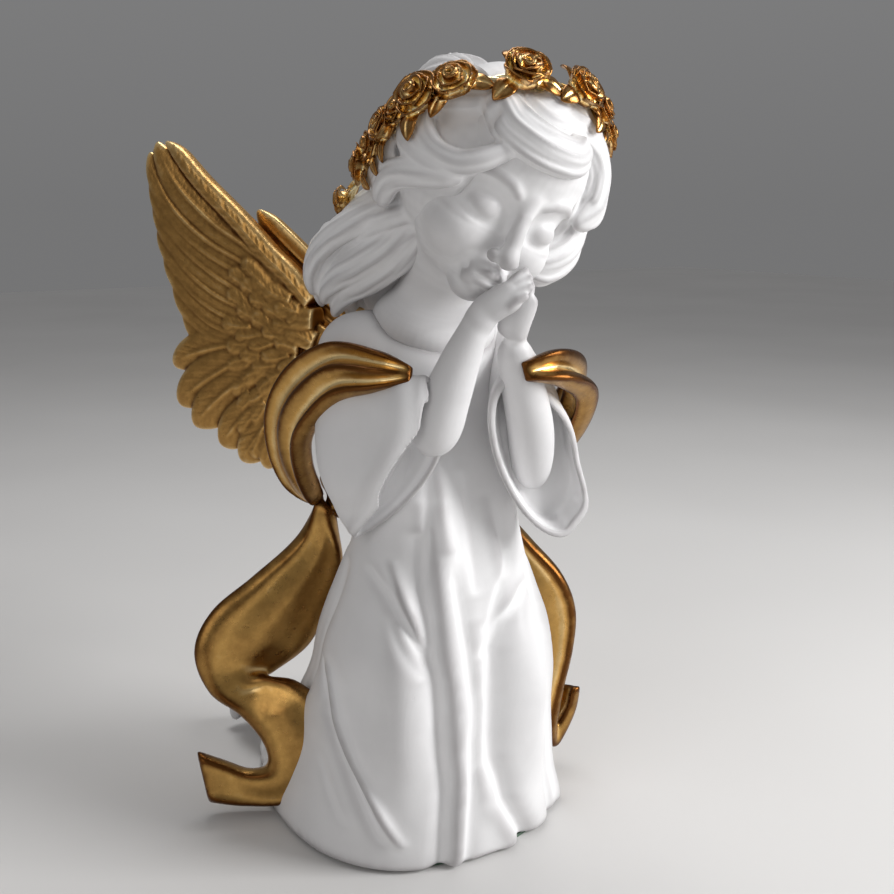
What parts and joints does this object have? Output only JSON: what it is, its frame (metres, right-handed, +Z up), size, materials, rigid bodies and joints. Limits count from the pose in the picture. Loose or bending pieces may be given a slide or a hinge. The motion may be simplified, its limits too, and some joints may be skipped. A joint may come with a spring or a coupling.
{
  "type": "angel figurine",
  "caption": "Kneeling child angel figurine in white resin, praying, with gold wings, draped gold shawl and a gold rose wreath.",
  "frame": {"origin": "on the underside of the felt, under the vertical axis of the figure's body", "axes": "+Z up; the kneeling figure faces -Y and its own right hand is on the -X side"},
  "size_m": [0.158, 0.1908, 0.2954],
  "materials": {
    "white_resin": "satin white cast resin with small pits",
    "antique_gold": "antique gold paint over resin, darker in the recesses",
    "bright_gold": "bright gold paint over resin",
    "base_board": "raw pressed board",
    "green_felt": "thin green felt"
  },
  "bodies": {
    "root": {"gown_shell": "white_resin", "base_plate": "base_board", "base_felt": "green_felt", "foot_right": "white_resin", "foot_left": "white_resin", "head": "white_resin", "forearm_right": "white_resin", "forearm_left": "white_resin", "hand_right": "white_resin", "hand_left": "white_resin", "hair_crown": "white_resin", "hair_fringe": "white_resin", "hair_fall_right": "white_resin", "hair_nape": "white_resin", "hair_bob_left": "white_resin", "sleeve_right": "white_resin", "sleeve_left": "white_resin", "wing_right": "antique_gold", "wing_left": "antique_gold", "wing_plume_right": "antique_gold", "wing_plume_left": "antique_gold", "scarf_loop_right": "antique_gold", "scarf_loop_left": "antique_gold", "scarf_back": "antique_gold", "scarf_tail_right": "antique_gold", "scarf_tail_left": "antique_gold", "rose_01": "bright_gold", "rose_02": "bright_gold", "rose_03": "bright_gold", "rose_04": "bright_gold", "rose_05": "bright_gold", "rose_06": "bright_gold", "rose_07": "bright_gold", "rose_08": "bright_gold", "rose_09": "bright_gold", "rose_10": "bright_gold", "rose_11": "bright_gold", "rose_12": "bright_gold", "rose_13": "bright_gold", "rose_14": "bright_gold", "wreath_stem": "bright_gold"}
  },
  "joints": []
}
